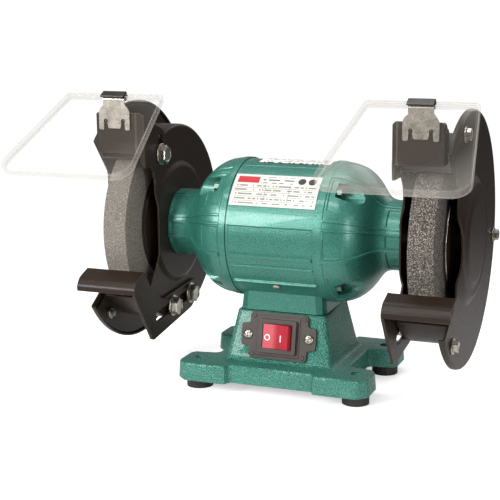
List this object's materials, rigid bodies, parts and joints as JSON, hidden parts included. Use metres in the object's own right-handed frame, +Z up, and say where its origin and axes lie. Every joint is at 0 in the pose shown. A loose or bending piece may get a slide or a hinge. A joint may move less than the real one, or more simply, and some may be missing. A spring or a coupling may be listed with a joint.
{
  "type": "bench grinder",
  "caption": "Bench grinder with a rounded teal motor on a bolt-down base, a guarded grinding wheel at each end, tool rests, clear eye shields and a rocker switch.",
  "frame": {"origin": "on the bench, under the middle of the whole object", "axes": "+X along the shaft to the right-hand wheel, -Y to the front where the switch and tool rests are, +Z up"},
  "size_m": [0.358, 0.2614, 0.2411],
  "materials": {
    "teal_paint": "fine hammered enamel on a rough casting",
    "black_paint": "satin black enamel on pressed sheet",
    "steel": "bright zinc plate",
    "grit": "coarse vitrified abrasive grain",
    "rubber": "plain black rubber",
    "switch_plastic": "moulded dark plastic",
    "red_plastic": "glossy translucent red plastic",
    "clear_shield": "clear moulded plastic",
    "rating_plate": "printed white plate",
    "copper": "enamelled copper wire",
    "iron": "stacked sheet-iron laminations"
  },
  "bodies": {
    "frame": {"base_casting": "teal_paint", "motor_barrel": "teal_paint", "end_bell_right": "teal_paint", "end_bell_left": "teal_paint", "foot_front_left": "rubber", "foot_front_right": "rubber", "foot_back_right": "rubber", "foot_back_left": "rubber", "cable_gland": "rubber", "bottom_plate": "black_paint", "run_capacitor": "switch_plastic", "switch_plate": "switch_plastic", "switch_body": "switch_plastic", "switch_screw_left": "steel", "switch_screw_right": "steel", "tie_bolt_1": "steel", "tie_bolt_2": "steel", "tie_bolt_3": "steel", "tie_bolt_4": "steel", "stator_core": "iron", "rating_plate": "rating_plate", "winding_right": "copper", "bearing_right": "steel", "bracket_bolt_right": "steel", "cover_screw_right_1": "steel", "cover_screw_right_2": "steel", "cover_screw_right_3": "steel", "rest_bolt_right_1": "steel", "rest_bolt_right_2": "steel", "guard_shell_right": "black_paint", "guard_cover_right": "black_paint", "winding_left": "copper", "bearing_left": "steel", "bracket_bolt_left": "steel", "cover_screw_left_1": "steel", "cover_screw_left_2": "steel", "cover_screw_left_3": "steel", "rest_bolt_left_1": "steel", "rest_bolt_left_2": "steel", "guard_shell_left": "black_paint", "guard_cover_left": "black_paint"},
    "rotor": {"shaft": "steel", "rotor_core": "iron", "inner_flange_right": "steel", "wheel_right": "grit", "outer_flange_right": "black_paint", "shaft_nut_right": "steel", "inner_flange_left": "steel", "wheel_left": "grit", "outer_flange_left": "black_paint", "shaft_nut_left": "steel"},
    "rocker": {"switch_rocker": "red_plastic"},
    "rest_left": {"tool_rest_left": "black_paint"},
    "bracket_left": {"spark_bracket_left": "black_paint", "shield_clip_left": "steel"},
    "shield_left": {"eye_shield_left": "clear_shield"},
    "rest_right": {"tool_rest_right": "black_paint"},
    "bracket_right": {"spark_bracket_right": "black_paint", "shield_clip_right": "steel"},
    "shield_right": {"eye_shield_right": "clear_shield"}
  },
  "joints": [
    {"name": "rotor_spin", "type": "hinge", "parent": "frame", "child": "rotor", "pos_m": [0, 0.02965, 0.128], "axis": [1, 0, 0], "continuous": true},
    {"name": "switch_rock", "type": "hinge", "parent": "frame", "child": "rocker", "pos_m": [0, -0.00769, 0.04604], "axis": [0, 0.2102, 0.9777], "range_deg": [0, 16]},
    {"name": "rest_slide_left", "type": "slide", "parent": "frame", "child": "rest_left", "axis": [0, -0.9967, -0.0808], "range_m": [-0.0015, 0.005]},
    {"name": "bracket_slide_left", "type": "slide", "parent": "frame", "child": "bracket_left", "axis": [0, 0, -1], "range_m": [0, 0.012]},
    {"name": "shield_tilt_left", "type": "hinge", "parent": "bracket_left", "child": "shield_left", "pos_m": [-0.123, -0.04085, 0.236], "axis": [-1, 0, 0], "range_deg": [-15, 60]},
    {"name": "rest_slide_right", "type": "slide", "parent": "frame", "child": "rest_right", "axis": [0, -0.9967, -0.0808], "range_m": [-0.0015, 0.005]},
    {"name": "bracket_slide_right", "type": "slide", "parent": "frame", "child": "bracket_right", "axis": [0, 0, -1], "range_m": [0, 0.012]},
    {"name": "shield_tilt_right", "type": "hinge", "parent": "bracket_right", "child": "shield_right", "pos_m": [0.123, -0.04085, 0.236], "axis": [-1, 0, 0], "range_deg": [-15, 60]}
  ]
}
